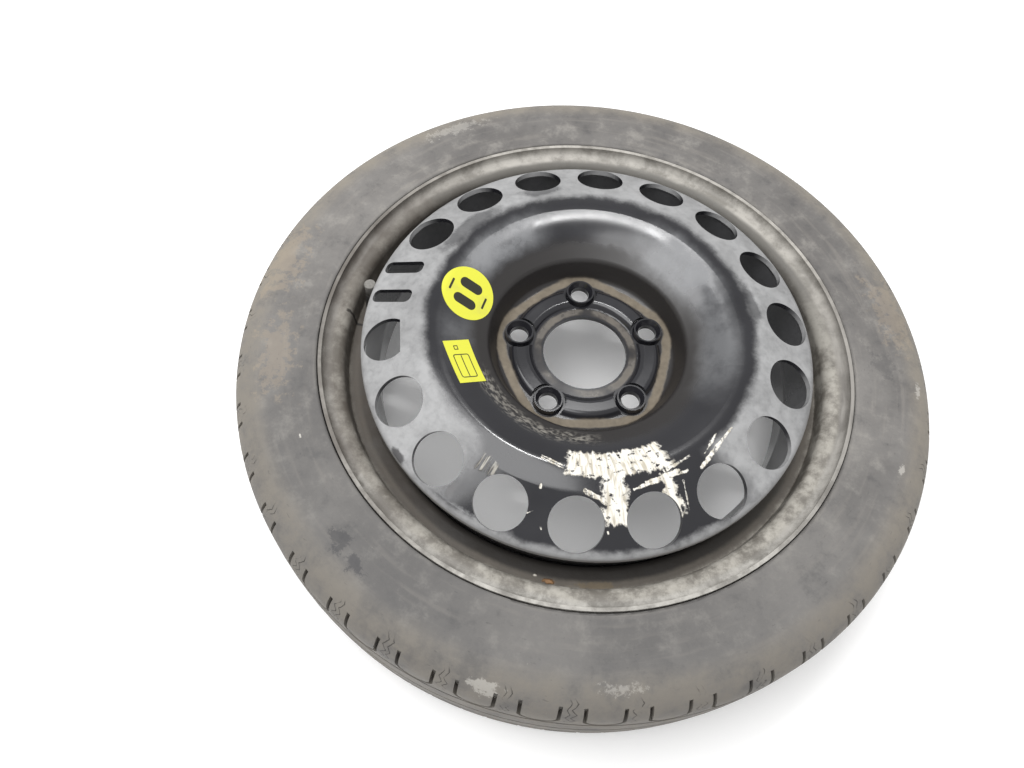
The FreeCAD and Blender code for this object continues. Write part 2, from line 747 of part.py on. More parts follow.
def on_valve(body):
    """Put a turned valve piece on the valve axis."""
    bind(body, "Placement.Base.x", -valve_circle)
    return body


rubber_top = land_face + size("rubber_height")
stem_top = land_face + size("stem_height")
core_top = stem_top - size("core_sink")
core_low = core_top - size("core_length")
core_shelf = core_low + size("core_floor")
core_radius = size("stem_bore") - size("pin_clearance")
collar_low = stem_top - size("pin_collar_level") - size("pin_collar_height")
seal_top = core_low - size("pin_clearance")
pin_low = seal_top - size("seal_height") - size("pin_tail")


def make_valve():
    """Snap-in rubber valve with its brass stem, valve core and cap."""
    stem = size("stem_radius")
    gap = size("seat_clearance")
    neck = size("valve_hole_radius") - size("valve_gap")
    rubber = turned_body("valve_body", (
        (stem, land_back - size("bulb_length")),
        (size("bulb_tip_radius"), land_back - size("bulb_length")),
        (size("bulb_radius"), land_back - size("bulb_edge")),
        (size("bulb_lip_radius"), land_back - gap),
        (neck, land_back - gap),
        (neck, land_face + gap),
        (size("collar_radius"), land_face + gap),
        (size("collar_radius"), land_face + size("collar_height")),
        (size("rubber_root_radius"), land_face + size("rubber_root_height")),
        (size("rubber_top_radius"), rubber_top),
        (stem, rubber_top),
    ))
    stem_low = land_back - size("stem_foot")
    brass = turned_body("valve_stem", (
        (size("stem_low_bore"), stem_low),
        (stem, stem_low),
        (stem, stem_top),
        (size("stem_bore"), stem_top),
        (size("stem_bore"), core_low),
        (size("stem_low_bore"), core_low),
    ))
    pin_bore = size("pin_radius") + size("pin_clearance")
    groove_low = core_low + size("gasket_level")
    groove_high = groove_low + size("gasket_height")
    groove_radius = core_radius - size("gasket_depth")
    barrel = turned_body("valve_core", (
        (pin_bore, core_low),
        (core_radius, core_low),
        (core_radius, groove_low),
        (groove_radius, groove_low),
        (groove_radius, groove_high),
        (core_radius, groove_high),
        (core_radius, core_top),
        (size("core_chamber"), core_top),
        (size("core_chamber"), core_shelf),
        (pin_bore, core_shelf),
    ))
    gasket = turned_body("core_gasket", (
        (groove_radius, groove_low),
        (core_radius, groove_low),
        (core_radius, groove_high),
        (groove_radius, groove_high),
    ))
    pin = size("pin_radius")
    pin_top = stem_top - size("pin_sink")
    collar_high = collar_low + size("pin_collar_height")
    needle = turned_body("core_pin", (
        (0.0, pin_low),
        (pin, pin_low),
        (pin, collar_low),
        (size("pin_collar_radius"), collar_low),
        (size("pin_collar_radius"), collar_high),
        (pin, collar_high),
        (pin, pin_top),
        (0.0, pin_top),
    ))
    seal = turned_body("core_seal", (
        (pin, seal_top - size("seal_height")),
        (size("seal_radius"), seal_top - size("seal_height")),
        (size("seal_radius"), seal_top),
        (pin, seal_top),
    ))
    bodies = (rubber, brass, barrel, gasket, needle, seal, make_cap())
    return [on_valve(body) for body in bodies] + [make_spring()]


def make_cap():
    """Screw cap with grip flutes."""
    inside = size("stem_radius") + size("cap_clearance")
    low = rubber_top + size("cap_foot_gap")
    roof = stem_top + size("cap_head_room")
    top = roof + size("cap_roof")
    body = turned_body("valve_cap", (
        (inside, low),
        (size("cap_radius"), low),
        (size("cap_radius"), top, size("cap_edge_round")),
        (0.0, top),
        (0.0, roof),
        (inside, roof),
    ))
    flute = new_sketch(body, "flute", "XY_Plane", low)
    round_hole(flute, size("cap_radius") + size("cap_flute_radius") / 2, size("cap_flute_radius"))
    cut = pocket(body, flute, top - low - size("cap_edge_round") - size("cap_roof"))
    ring_of(body, [cut], "flutes", size("cap_ribs"), full_turn)
    return body


def make_spring():
    """Coil spring between the shelf of the valve core and the collar of its pin."""
    room = size("pin_clearance")
    low = core_shelf + size("spring_wire") + room
    length = collar_low - core_shelf - (size("spring_wire") + room) * 2
    coil = doc.addObject("Part::Helix", "spring_coil")
    bind(coil, "Radius", size("spring_radius"))
    bind(coil, "Height", length)
    bind(coil, "Pitch", length / size("spring_turns"))
    wire = doc.addObject("Part::RegularPolygon", "spring_wire_section")
    bind(wire, "Polygon", size("spring_flats"))
    bind(wire, "Circumradius", size("spring_wire"))
    wire.Placement = FreeCAD.Placement(FreeCAD.Vector(), FreeCAD.Rotation(FreeCAD.Vector(1, 0, 0), 90))
    bind(wire, "Placement.Base.x", size("spring_radius"))
    spring = doc.addObject("Part::Sweep", "core_spring")
    spring.Sections = [wire]
    spring.Spine = (coil, ["Edge1"])
    spring.Solid = True
    spring.Frenet = True
    bind(spring, "Placement.Base.x", -valve_circle)
    bind(spring, "Placement.Base.z", low)
    return spring


def flank_sheet(name):
    """A thin funnel that lies on the flank and the rounding of the bulge."""
    body = new_body(f"{name}_sheet")
    lift = size("sticker_gap") + size("sticker_thickness")
    rise = lift / cosine(size("flank_slope"))
    section = new_sketch(body, "section", "XZ_Plane")
    sheet_section(section, (
        (wall_top_radius, wall_top + rise),
        (crest_radius, crest_height + rise, size("crest_round") + lift),
        (vent_circle, vent_height + rise),
    ), size("sticker_thickness"))
    turned(body, section, "Revolution")
    return body


def on_flank(angle, turn):
    """The placement of a cutter whose Z axis stands square on the flank."""
    radius = crest_radius - size("sticker_inset")
    height = crest_height - size("sticker_inset") * flank_rise
    about_axis = FreeCAD.Rotation(FreeCAD.Vector(0, 0, 1), angle)
    tilt = FreeCAD.Rotation(FreeCAD.Vector(0, 1, 0), -size("flank_slope").value)
    spin = FreeCAD.Rotation(FreeCAD.Vector(0, 0, 1), turn)
    middle = about_axis.multVec(FreeCAD.Vector(radius.value, 0, height.value))
    return FreeCAD.Placement(middle, about_axis.multiply(tilt).multiply(spin))


def make_stickers():
    """A round sticker and a label, each a sheet that follows the flank."""
    reach = cut_margin * 2
    disc = doc.addObject("Part::Cylinder", "sticker_cutter")
    bind(disc, "Radius", size("sticker_radius"))
    bind(disc, "Height", reach * 2)
    plate = doc.addObject("Part::Box", "label_cutter")
    bind(plate, "Length", size("label_width"))
    bind(plate, "Width", size("label_length"))
    bind(plate, "Height", reach * 2)
    corner = FreeCAD.Vector(-size("label_width").value / 2, -size("label_length").value / 2, -reach.value)
    base = FreeCAD.Vector(0, 0, -reach.value)
    places = (
        ("round_sticker", disc, size("sticker_angle").value, 0.0, base),
        ("plain_label", plate, size("label_angle").value, size("label_turn").value, corner),
    )
    stickers = []
    for label, cutter, angle, turn, start in places:
        cutter.Placement = on_flank(angle, turn).multiply(FreeCAD.Placement(start, FreeCAD.Rotation()))
        sticker = doc.addObject("Part::Common", label)
        sticker.Base = flank_sheet(label)
        sticker.Tool = cutter
        stickers.append(sticker)
    return stickers


pieces = [make_tyre(), make_rim(), make_disc(), make_welds()] + make_valve() + make_stickers()
doc.recompute()

for thing in doc.Objects:
    if "Invalid" in thing.State or "Error" in thing.State:
        raise RuntimeError(f"{thing.Name} failed: {thing.State}")
for piece in pieces:
    if piece.Shape.isNull() or not piece.Shape.isValid():
        raise RuntimeError(f"{piece.Name} has no valid shape")

os.makedirs("parts", exist_ok=True)
for piece in pieces:
    piece.Label = piece.Name
    piece.Shape.exportStep(f"parts/{piece.Label}.step")
    print(piece.Label, len(piece.Shape.Solids), round(piece.Shape.Volume, 1))
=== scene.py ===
import math

import bpy
from mathutils import Matrix, Vector


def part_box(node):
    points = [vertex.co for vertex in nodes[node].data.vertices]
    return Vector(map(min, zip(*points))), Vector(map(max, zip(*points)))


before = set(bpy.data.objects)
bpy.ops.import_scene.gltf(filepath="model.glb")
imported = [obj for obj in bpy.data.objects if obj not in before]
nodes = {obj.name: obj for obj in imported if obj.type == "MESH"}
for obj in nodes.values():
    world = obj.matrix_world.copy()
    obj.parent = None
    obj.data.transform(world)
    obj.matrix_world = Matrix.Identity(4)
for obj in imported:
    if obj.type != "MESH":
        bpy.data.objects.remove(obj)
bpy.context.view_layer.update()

MILLIMETRES = 1000.0

# The photograph's camera, from a fit to the flange, holes and tyre
PHOTO_WIDTH = 1024
FOCAL_PIXELS = 798.4
CAMERA_DISTANCE = 0.6617
CAMERA_ELEVATION = 57.65
CAMERA_AZIMUTH = 2.2
CAMERA_YAW = 4.564
CAMERA_PITCH = -4.166
CAMERA_ROLL = -12.906
SENSOR_WIDTH = 36.0
NEAR_CLIP = 0.01

# Lights: name, place and size in metres, power in watts
LIGHTS = (
    ("back_window", (-0.06, 1.53, 3.7), (0.9, 0.15), 28.0),
    ("ceiling", (-0.6, -0.2, 2.0), (1.5, 1.5), 36.0),
)
ROOM_STRENGTH = 0.74
FLOOR_SIZE = 12.0
FLOOR_GLOW = 0.15
FLOOR_SHADES = ((0.88, 0.88, 0.88), (0.92, 0.92, 0.92))

FLANGE_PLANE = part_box("rim")[1][2]
FLOOR_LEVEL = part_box("tyre")[0][2]

# Places on the wheel that the dirt follows, in millimetres and degrees
FRONT = -90.0
BACK = 90.0
LEFT = -170.0
BOLT_CIRCLE = 57.5
BOLT_COUNT = 5
BOLT_STEP = 72.0
FIRST_BOLT = 36.0
TYRE_MIDDLE = -41.0
TYRE_SHOULDER = (256.0, 274.0)
LUG_STEP = 9.0
LUG_PHASE = -1.7
SIPES = (4.2, 5.0)
SIPE_WIDTH = 0.1
SIPE_ZIGZAG = 4.0
GUTTER_END = (194.0, 201.0)
GUTTER_SHADOW_REACH = (193.0, 188.5)
LIP_START = (208.0, 213.0)
RIM_INSIDE_LEVEL = (-24.0, -34.0)
RIM_JOINT = (-173.6, -172.9)
DISC_CREST = (100.0, 140.0)
CREST_SOFTNESS = 0.011
DISC_RING = (128.0, 137.0)
DISC_BORDER = (177.0, 184.0)
WIPED_FRONT = (-116.0, -36.0)

# Grain of the surfaces, in metres
RUBBER_GRAIN = 0.0008
RIM_GRAIN = 0.0006
DISC_GRAIN = 0.0004
FINE_GRAIN = 0.0001

# Colours of the tyre; a pair of shades runs from dark to light
RUBBER_SHADES = ((0.118, 0.112, 0.108), (0.205, 0.196, 0.186))
RUBBER_RINGS = (0.27, 0.25, 0.225)
RUBBER_PALE = (0.31, 0.295, 0.27)
RUBBER_DARK = (0.07, 0.069, 0.071)
RUBBER_BROWN = (0.235, 0.212, 0.178)
# Painted shade: the front side of the tyre is darkened
RUBBER_FRONT_PAINTED_SHADE = (0.085, 0.084, 0.084)
RUBBER_SPECKS = (0.40, 0.38, 0.34)
RUBBER_CRACKS = (0.05, 0.05, 0.05)
# Painted shade in the thin sipe cuts
SIPE_PAINTED_SHADE = (0.022, 0.021, 0.02)

# Colours of the rim
GUTTER_SHADES = ((0.06, 0.052, 0.043), (0.19, 0.17, 0.145))
GUTTER_SHADOW = (0.018, 0.016, 0.015)
SLOPE_SHADES = ((0.15, 0.138, 0.12), (0.39, 0.37, 0.33))
BACK_SLOPE_SHADES = ((0.10, 0.095, 0.085), (0.20, 0.19, 0.172))
LIP_SHADES = ((0.15, 0.14, 0.128), (0.27, 0.255, 0.235))
FRONT_LIP_SHADES = ((0.20, 0.19, 0.172), (0.47, 0.455, 0.42))
BACK_LIP_SHADES = ((0.23, 0.217, 0.195), (0.44, 0.42, 0.385))
LEFT_SHADE = (0.085, 0.072, 0.06)
RIM_INSIDE = (0.012, 0.011, 0.012)
STAIN_SHADES = ((0.075, 0.055, 0.033), (0.25, 0.20, 0.13))
RUST_SHADES = ((0.15, 0.075, 0.03), (0.46, 0.26, 0.12))
CHIP_COLOUR = (0.66, 0.62, 0.55)
JOINT_COLOUR = (0.015, 0.013, 0.012)

# Colours of the disc
PAINT_SHADES = ((0.008, 0.008, 0.010), (0.022, 0.022, 0.026))
GRIME_COLOUR = (0.022, 0.019, 0.017)
HAZE_COLOUR = (0.23, 0.234, 0.242)
DUST_SHADES = ((0.25, 0.25, 0.25), (0.39, 0.391, 0.394))
RUBBED_COLOUR = (0.035, 0.033, 0.035)
WORN_EDGE = (0.42, 0.41, 0.40)
TAN_SHADES = ((0.095, 0.079, 0.058), (0.24, 0.204, 0.154))
SMEAR_COLOUR = (0.33, 0.31, 0.275)
PAPER_SHADES = ((0.46, 0.42, 0.34), (0.80, 0.77, 0.70))

# Colours of the cap and the stickers
CAP_SIDE_SHADES = ((0.03, 0.028, 0.026), (0.09, 0.083, 0.073))
CAP_TOP_SHADES = ((0.10, 0.095, 0.088), (0.28, 0.27, 0.25))
FILM_COLOUR = (0.68, 0.68, 0.055)
FILM_DIRT = (0.46, 0.44, 0.12)
INK_COLOUR = (0.02, 0.02, 0.012)

# Marks on the tyre by colour: radius, angle, depth, degrees round the wheel, strength
TYRE_MARKS = (
    ((0.045, 0.045, 0.05), (
        (252.0, -121.4, 8.0, 2.2, 0.55),
        (255.0, -116.7, 7.0, 1.8, 0.6),
        (246.0, 12.0, 12.0, 3.0, 0.3),
    )),
    ((0.33, 0.27, 0.20), (
        (266.0, 180.0, 18.0, 8.0, 0.35),
        (253.0, -160.0, 16.0, 9.0, 0.3),
        (264.0, 24.0, 16.0, 9.0, 0.3),
    )),
    ((0.52, 0.50, 0.46), (
        (263.0, 132.0, 7.0, 7.0, 0.3),
        (279.0, -91.0, 5.0, 2.6, 0.45),
        (270.0, -72.0, 4.0, 3.0, 0.3),
        (240.5, -142.3, 1.2, 0.6, 0.9),
        (262.0, -9.0, 2.5, 1.2, 0.5),
        (271.0, 8.0, 3.0, 1.5, 0.5),
    )),
)

# Marks on the rim: radius, angle, depth, degrees round the wheel
RIM_STAIN = (194.5, -73.0, 5.0, 5.5)
RIM_RUST = (193.5, -84.0, 2.6, 1.9)
RIM_CHIP = (191.0, -87.2, 1.3, 0.6)

# Haze on the bulge: angles, radii, strength
HAZES = (
    (128.0, 170.0, 99.0, 121.0, 0.9),
    (40.0, 74.0, 88.0, 120.0, 1.0),
    (-12.0, 44.0, 92.0, 118.0, 0.5),
    (-170.0, -152.0, 95.0, 118.0, 0.4),
)

# Places on the ring of holes: radius, angle, depth, degrees round the wheel
WIPED = (
    (139.0, 150.0, 9.0, 16.0),
    (146.0, 122.0, 8.0, 9.0),
    (134.0, 27.0, 6.0, 12.0),
)
RUBBED = (
    (182.5, -128.0, 4.0, 3.0),
    (173.0, -112.5, 6.0, 1.2),
    (176.5, -119.0, 5.0, 1.0),
)

# Pale scratches on the disc: radius and angle of both ends, then half the width
SCRATCHES = (
    (142.0, -42.0, 136.5, -33.5, 1.6),
    (138.5, -38.0, 134.5, -25.5, 0.9),
    (135.0, -38.5, 129.0, -30.5, 0.7),
    (140.6, -64.0, 139.3, -46.5, 0.8),
    (137.5, -60.0, 136.5, -49.0, 0.8),
    (133.0, -53.0, 130.6, -43.3, 0.8),
    (140.2, -78.5, 147.5, -72.5, 1.6),
    (119.5, -94.0, 123.5, -86.5, 0.4),
    (121.5, -94.0, 126.0, -86.0, 0.4),
    (144.5, -49.0, 163.0, -50.5, 0.4),
    (159.0, -91.0, 163.0, -92.8, 0.5),
    (142.0, -91.3, 144.0, -91.3, 0.4),
    (169.0, -88.4, 170.0, -88.2, 0.4),
    (167.0, -72.1, 168.0, -72.0, 0.4),
)
SCRATCH_EDGE = 0.3

# The stickers on the flank, and the bars on them: middle, half size, rounding
STICKER_RADIUS = 105.0
STICKER_ANGLE = 176.8
LABEL_ANGLE = 212.7
LABEL_TURN = 6.6
FLANK_SLOPE = 29.0
PRINT_EDGE = 0.2
ROUND_PRINT = (
    ((0.0, -8.0), (10.5, 4.6), 4.6),
    ((0.0, 8.0), (10.5, 4.6), 4.6),
    ((-16.0, 0.0), (1.0, 5.5), 0.9),
    ((16.0, 0.0), (1.0, 5.5), 0.9),
)
LABEL_FRAME = ((0.0, 4.0), (7.6, 11.0), 2.2)
LABEL_FRAME_INSIDE = ((0.0, 4.0), (6.7, 10.1), 1.4)
LABEL_FOLD = ((0.0, 4.0), (0.45, 10.0), 0.4)
LABEL_SQUARE = ((2.0, -13.0), (2.0, 2.0), 0.4)
LABEL_SQUARE_INSIDE = ((2.0, -13.0), (1.2, 1.2), 0.3)


class Shader:
    """A material whose nodes read the wheel's own coordinates.

    r is the radius and level the height in millimetres, a the angle about the
    wheel axis in degrees, and up the upward share of the surface's direction.
    """

    def __init__(self, name):
        self.material = bpy.data.materials.new(name)
        self.material.use_nodes = True
        self.tree = self.material.node_tree
        self.surface = self.tree.nodes["Principled BSDF"]
        where = self.tree.nodes.new("ShaderNodeTexCoord")
        self.place = where.outputs["Object"]
        x, y, z = self.split(self.place)
        self.r = self.times(self.length(x, y), MILLIMETRES)
        self.a = self.times(self.calc("ARCTAN2", y, x), math.degrees(1.0))
        self.level = self.times(z, MILLIMETRES)
        self.up = self.split(where.outputs["Normal"])[2]

    def split(self, vector):
        node = self.tree.nodes.new("ShaderNodeSeparateXYZ")
        self.tree.links.new(vector, node.inputs[0])
        return node.outputs

    def feed(self, socket, value):
        """Link a socket to the value, or set it if the value is a plain one."""
        if isinstance(value, bpy.types.NodeSocket):
            self.tree.links.new(value, socket)
        elif socket.type == "RGBA":
            socket.default_value = tuple(value) + (1.0,)
        else:
            socket.default_value = value

    def calc(self, operation, *values, clamp=False):
        node = self.tree.nodes.new("ShaderNodeMath")
        node.operation = operation
        node.use_clamp = clamp
        for socket, value in zip(node.inputs, values):
            self.feed(socket, value)
        return node.outputs[0]

    def add(self, a, b):
        return self.calc("ADD", a, b)

    def times(self, a, b):
        return self.calc("MULTIPLY", a, b)

    def length(self, a, b):
        return self.calc("SQRT", self.add(self.times(a, a), self.times(b, b)))

    def either(self, first, *others):
        for other in others:
            first = self.calc("MAXIMUM", first, other)
        return first

    def flipped(self, mask):
        return self.calc("SUBTRACT", 1.0, mask)

    def wave(self, angle, count):
        """Cosine of an angle in degrees, repeated count times in a turn."""
        return self.calc("COSINE", self.times(angle, math.radians(count)))

    def facing(self, angle, low, high):
        """One on the side of the wheel at an angle, fading as the cosine goes from high to low."""
        return self.span(self.wave(self.add(self.a, -angle), 1), low, high)

    def noise(self, scale, detail=4.0, roughness=0.55):
        node = self.tree.nodes.new("ShaderNodeTexNoise")
        self.tree.links.new(self.place, node.inputs["Vector"])
        node.inputs["Scale"].default_value = scale
        node.inputs["Detail"].default_value = detail
        node.inputs["Roughness"].default_value = roughness
        return node.outputs["Fac"]

    def ring_noise(self, radial, along, detail=3.0):
        """Noise drawn out round the wheel.

        Its grain is radial millimetres deep and along degrees long.
        """
        pair = self.tree.nodes.new("ShaderNodeCombineXYZ")
        self.feed(pair.inputs[0], self.times(self.r, 1.0 / radial))
        self.feed(pair.inputs[1], self.times(self.a, 1.0 / along))
        self.feed(pair.inputs[2], self.times(self.level, 1.0 / radial))
        node = self.tree.nodes.new("ShaderNodeTexNoise")
        self.tree.links.new(pair.outputs[0], node.inputs["Vector"])
        node.inputs["Scale"].default_value = 1.0
        node.inputs["Detail"].default_value = detail
        return node.outputs["Fac"]

    def shaken(self, value, noise, amount):
        """Push a value to and fro by a noise."""
        return self.add(value, self.times(self.calc("SUBTRACT", noise, 0.5), amount))

    def span(self, value, low, high, to_low=0.0, to_high=1.0):
        """Remap a value from low..high to to_low..to_high, smoothly and held at the ends."""
        node = self.tree.nodes.new("ShaderNodeMapRange")
        node.interpolation_type = "SMOOTHSTEP"
        self.feed(node.inputs["Value"], value)
        node.inputs["From Min"].default_value = low
        node.inputs["From Max"].default_value = high
        node.inputs["To Min"].default_value = to_low
        node.inputs["To Max"].default_value = to_high
        return node.outputs[0]

    def band(self, value, low, high, soft):
        """One inside low..high, fading over soft at both ends."""
        rise = self.span(value, low - soft, low + soft)
        fall = self.span(value, high - soft, high + soft)
        return self.calc("SUBTRACT", rise, fall, clamp=True)

    def blend(self, amount, a, b):
        node = self.tree.nodes.new("ShaderNodeMix")
        node.data_type = "RGBA"
        self.feed(node.inputs[0], amount)
        self.feed(node.inputs[6], a)
        self.feed(node.inputs[7], b)
        return node.outputs[2]

    def smudge(self, radius, angle, deep, wide, noise, ragged=1.4):
        """One near a point of the wheel, with a ragged edge.

        It is deep millimetres in radius and wide degrees round the wheel.
        """
        across = self.times(self.add(self.r, -radius), 1.0 / deep)
        turned = self.calc("WRAP", self.add(self.a, -angle), 180.0, -180.0)
        along = self.times(turned, 1.0 / wide)
        distance = self.length(across, along)
        return self.span(self.shaken(distance, noise, ragged), 0.5, 1.0, 1.0, 0.0)

    def stroke(self, start, end, half_width, noise, ragged):
        """One along a line between two places given as radius and angle."""
        ends = []
        for radius, angle in (start, end):
            way = math.radians(angle)
            ends.append(Vector((radius * math.cos(way), radius * math.sin(way))))
        half = (ends[1] - ends[0]).length / 2
        way = (ends[1] - ends[0]).normalized()
        middle = (ends[0] + ends[1]) / 2
        x, y, _ = self.split(self.place)
        step = way * MILLIMETRES
        along = self.add(self.times(x, step.x), self.times(y, step.y))
        across = self.add(self.times(y, step.x), self.times(x, -step.y))
        across = self.add(across, way.y * middle.x - way.x * middle.y)
        along = self.calc("ABSOLUTE", self.add(along, -way.dot(middle)))
        beyond = self.calc("MAXIMUM", self.add(along, -half), 0.0)
        distance = self.shaken(self.length(across, beyond), noise, ragged)
        return self.span(distance, half_width - SCRATCH_EDGE, half_width + SCRATCH_EDGE, 1.0, 0.0)

    def bump(self, height, distance, under=None):
        node = self.tree.nodes.new("ShaderNodeBump")
        node.inputs["Strength"].default_value = 1.0
        node.inputs["Distance"].default_value = distance
        self.tree.links.new(height, node.inputs["Height"])
        if under:
            self.tree.links.new(under, node.inputs["Normal"])
        return node.outputs[0]

    def finish(self, colour, roughness, normal=None, metallic=0.0, specular=0.5):
        self.feed(self.surface.inputs["Base Color"], colour)
        self.feed(self.surface.inputs["Roughness"], roughness)
        self.surface.inputs["Metallic"].default_value = metallic
        self.surface.inputs["Specular IOR Level"].default_value = specular
        if normal:
            self.tree.links.new(normal, self.surface.inputs["Normal"])
        return self.material


def tyre_material():
    """Grey, dusty rubber, brown towards the shoulder, with marks and cracks; painted shade on the
    front and in the sipes.
    """
    s = Shader("worn_tyre")
    cloud = s.noise(8.0, 6.0, 0.6)
    mottle = s.noise(42.0, 6.0, 0.7)
    fine = s.noise(110.0, 6.0, 0.65)
    rings = s.ring_noise(5.0, 14.0)
    colour = s.blend(s.span(cloud, 0.32, 0.68), *RUBBER_SHADES)
    colour = s.blend(s.times(s.span(rings, 0.5, 0.75), 0.3), colour, RUBBER_RINGS)
    colour = s.blend(s.times(s.span(mottle, 0.48, 0.74), 0.55), colour, RUBBER_PALE)
    colour = s.blend(s.times(s.span(mottle, 0.48, 0.26), 0.55), colour, RUBBER_DARK)
    shoulder = s.span(s.shaken(s.r, s.noise(22.0), 14.0), *TYRE_SHOULDER)
    shoulder = s.times(shoulder, s.span(mottle, 0.32, 0.6, 0.3, 0.9))
    colour = s.blend(shoulder, colour, RUBBER_BROWN)
    # Painted shade, darker towards the front side of the tyre
    colour = s.blend(s.times(s.facing(FRONT, -0.2, 0.9), 0.35), colour, RUBBER_FRONT_PAINTED_SHADE)
    ragged = s.noise(130.0, 6.0, 0.75)
    for tint, marks in TYRE_MARKS:
        for radius, angle, deep, wide, strength in marks:
            mark = s.smudge(radius, angle, deep, wide, ragged, 5.0)
            colour = s.blend(s.times(mark, strength), colour, tint)
    specks = s.times(s.span(s.noise(210.0, 5.0, 0.7), 0.70, 0.78), 0.5)
    colour = s.blend(specks, colour, RUBBER_SPECKS)
    cracks = s.times(s.span(s.ring_noise(1.6, 1.4, 4.0), 0.66, 0.76), 0.35)
    colour = s.blend(cracks, colour, RUBBER_CRACKS)
    # The sipes are dark lines of painted shade in the cuts, and a dent in the bump
    sipes = s.times(zigzag_sipes(s), 0.75)
    colour = s.blend(sipes, colour, SIPE_PAINTED_SHADE)
    height = s.calc("SUBTRACT", s.add(s.times(fine, 0.5), s.times(mottle, 0.6)), sipes)
    rough = s.span(cloud, 0.3, 0.7, 0.6, 0.85)
    return s.finish(colour, rough, s.bump(height, RUBBER_GRAIN), specular=0.3)


def zigzag_sipes(s):
    """Thin, broken zigzag cuts across the shoulder between the lugs, as a mask for painted shade.
    """
    pitch = s.calc("WRAP", s.add(s.a, -LUG_PHASE), LUG_STEP, 0.0)
    pitch = s.shaken(pitch, s.noise(90.0), 0.9)
    inward = s.calc("ABSOLUTE", s.add(s.level, -TYRE_MIDDLE))
    zigzag = s.times(s.calc("PINGPONG", inward, SIPE_ZIGZAG), 0.16)
    bent = s.add(pitch, zigzag)
    lines = [s.band(bent, middle, middle + SIPE_WIDTH, 0.06) for middle in SIPES]
    reach = s.times(s.band(inward, 34.0, 58.0, 2.0), s.span(s.r, 268.0, 276.0))
    return s.times(s.times(s.either(*lines), reach), s.span(s.noise(75.0), 0.4, 0.55))


def rim_material():
    """Painted steel under tan dust, with a rust flake in the gutter and a joint by the valve."""
    s = Shader("dusty_rim")
    mottle = s.noise(45.0, 6.0, 0.7)
    coarse = s.noise(20.0, 5.0, 0.65)
    streak = s.ring_noise(6.0, 9.0, 4.0)
    ragged = s.noise(150.0, 5.0, 0.7)
    front = s.facing(FRONT, -0.3, 0.9)
    back = s.facing(BACK, 0.0, 0.8)
    left = s.facing(LEFT, 0.3, 0.95)

    gutter = s.blend(mottle, *GUTTER_SHADES)
    slope = s.blend(s.span(mottle, 0.38, 0.64), *SLOPE_SHADES)
    slope = s.blend(back, slope, s.blend(mottle, *BACK_SLOPE_SHADES))
    lip = s.blend(s.span(streak, 0.35, 0.65), *LIP_SHADES)
    front_lip = s.blend(s.span(mottle, 0.38, 0.62), *FRONT_LIP_SHADES)
    lip = s.blend(s.times(front, s.span(coarse, 0.35, 0.6, 0.45, 0.95)), lip, front_lip)
    lip = s.blend(back, lip, s.blend(s.span(mottle, 0.36, 0.64), *BACK_LIP_SHADES))
    colour = s.blend(s.span(s.shaken(s.r, mottle, 7.0), *GUTTER_END), gutter, slope)
    outward = s.shaken(s.add(s.r, s.times(back, 4.0)), streak, 4.0)
    colour = s.blend(s.span(outward, *LIP_START), colour, lip)

    shadow = s.times(front, s.span(s.shaken(s.r, mottle, 4.0), *GUTTER_SHADOW_REACH))
    colour = s.blend(s.times(shadow, 0.85), colour, GUTTER_SHADOW)
    shade = s.times(left, s.span(coarse, 0.35, 0.6, 0.8, 0.4))
    colour = s.blend(shade, colour, LEFT_SHADE)
    colour = s.blend(s.span(s.level, *RIM_INSIDE_LEVEL), colour, RIM_INSIDE)

    stain = s.times(s.smudge(*RIM_STAIN, ragged, 2.6), 0.75)
    colour = s.blend(stain, colour, s.blend(mottle, *STAIN_SHADES))
    rust = s.smudge(*RIM_RUST, ragged, 1.6)
    colour = s.blend(rust, colour, s.blend(ragged, *RUST_SHADES))
    chip = s.smudge(*RIM_CHIP, ragged, 1.0)
    colour = s.blend(chip, colour, CHIP_COLOUR)
    joint = s.band(s.shaken(s.a, ragged, 1.0), *RIM_JOINT, 0.15)
    joint = s.times(joint, s.band(s.r, 187.0, 204.0, 1.0))
    colour = s.blend(s.times(joint, 0.85), colour, JOINT_COLOUR)

    height = s.either(mottle, s.times(s.either(rust, chip), 2.0))
    rough = s.span(mottle, 0.3, 0.7, 0.5, 0.8)
    return s.finish(colour, rough, s.bump(height, RIM_GRAIN), specular=0.4)


